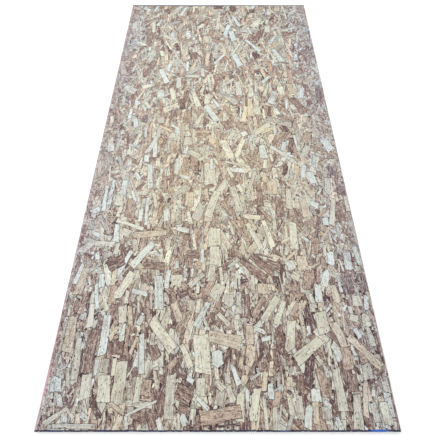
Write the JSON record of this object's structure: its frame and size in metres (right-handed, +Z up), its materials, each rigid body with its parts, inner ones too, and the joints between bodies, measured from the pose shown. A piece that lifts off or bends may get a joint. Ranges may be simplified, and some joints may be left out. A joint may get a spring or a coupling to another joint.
{
  "type": "osb panel",
  "caption": "Flat rectangular sheet of oriented strand board with square sawn edges, lying flat, its ends sealed blue and its long edges sealed rose.",
  "frame": {"origin": "middle of the underside, on the plane that the sheet lies on", "axes": "+Z up through the thickness, +Y along the sheet's long side, +X across its width"},
  "size_m": [1.22, 2.44, 0.0111],
  "materials": {
    "strand_board": "pressed wood strands under resin, pale cream to brown, matt to faintly glossy",
    "end_seal": "dark blue edge seal paint on the two short ends, matt",
    "side_seal": "rose edge seal paint on the two long edges, matt"
  },
  "bodies": {
    "root": {"osb_panel": "strand_board"}
  },
  "joints": []
}
